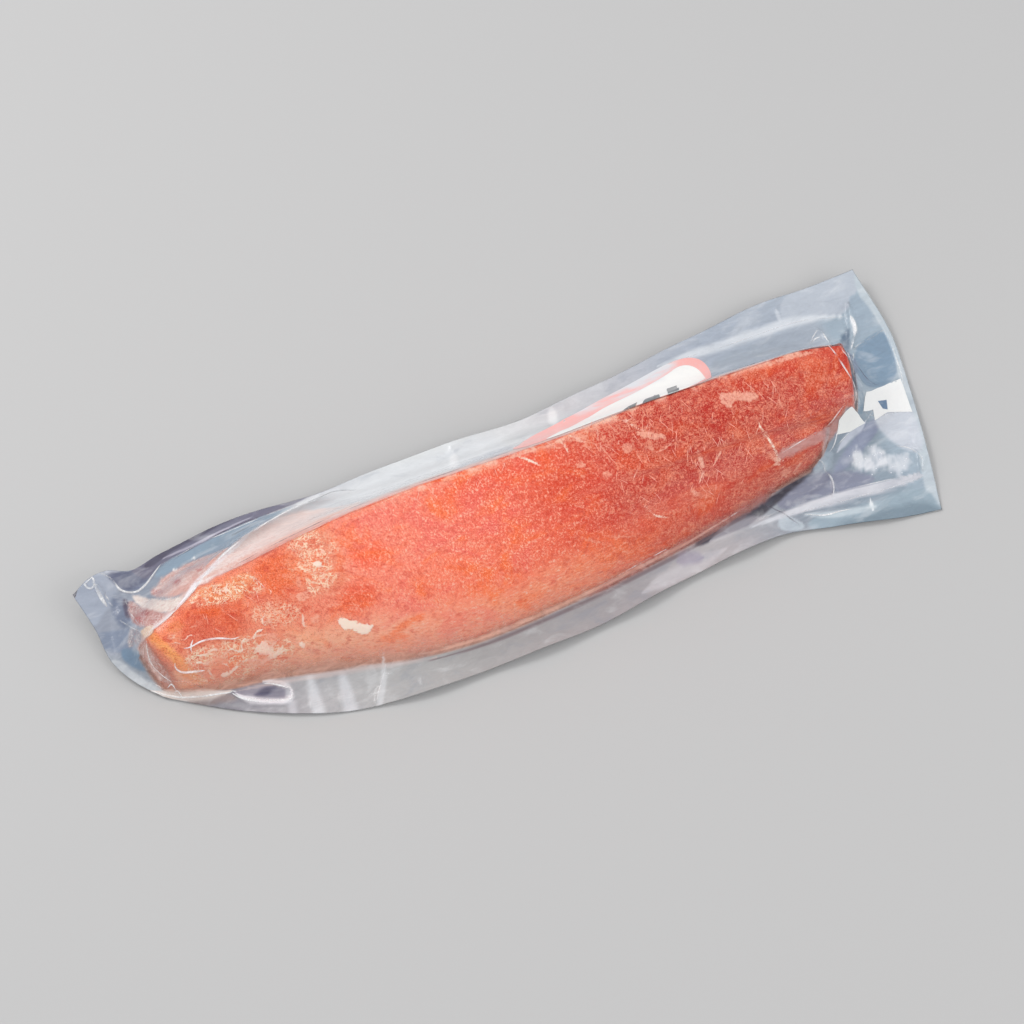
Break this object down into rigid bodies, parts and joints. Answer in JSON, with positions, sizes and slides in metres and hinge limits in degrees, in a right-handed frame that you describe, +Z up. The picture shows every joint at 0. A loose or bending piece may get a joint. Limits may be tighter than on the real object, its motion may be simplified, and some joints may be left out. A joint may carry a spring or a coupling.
{
  "type": "vacuum-packed tuna loin",
  "caption": "Whole frozen fish loin, wedge-shaped with a ridge along its back, sealed tight in a clear pouch with a flat skirt of film all round and one upturned corner.",
  "frame": {"origin": "middle of the pack's bounding box in plan, on the surface that it lies on", "axes": "+X along the loin towards the pouch's wide flat end, +Y to the pouch's back edge, behind the loin's ridge, +Z up"},
  "size_m": [0.6402, 0.206, 0.0622],
  "materials": {
    "film_over_loin": "clear glossy film drawn over frosted coral-red flesh",
    "clear_film": "clear glossy film with a blue-grey haze",
    "frozen_flesh": "coral-red frozen flesh with fine fibres and patches of frost",
    "label_print": "plain white print with a pink border, seen through the film"
  },
  "bodies": {
    "root": {"sealed_pouch": "film_over_loin"}
  },
  "joints": []
}
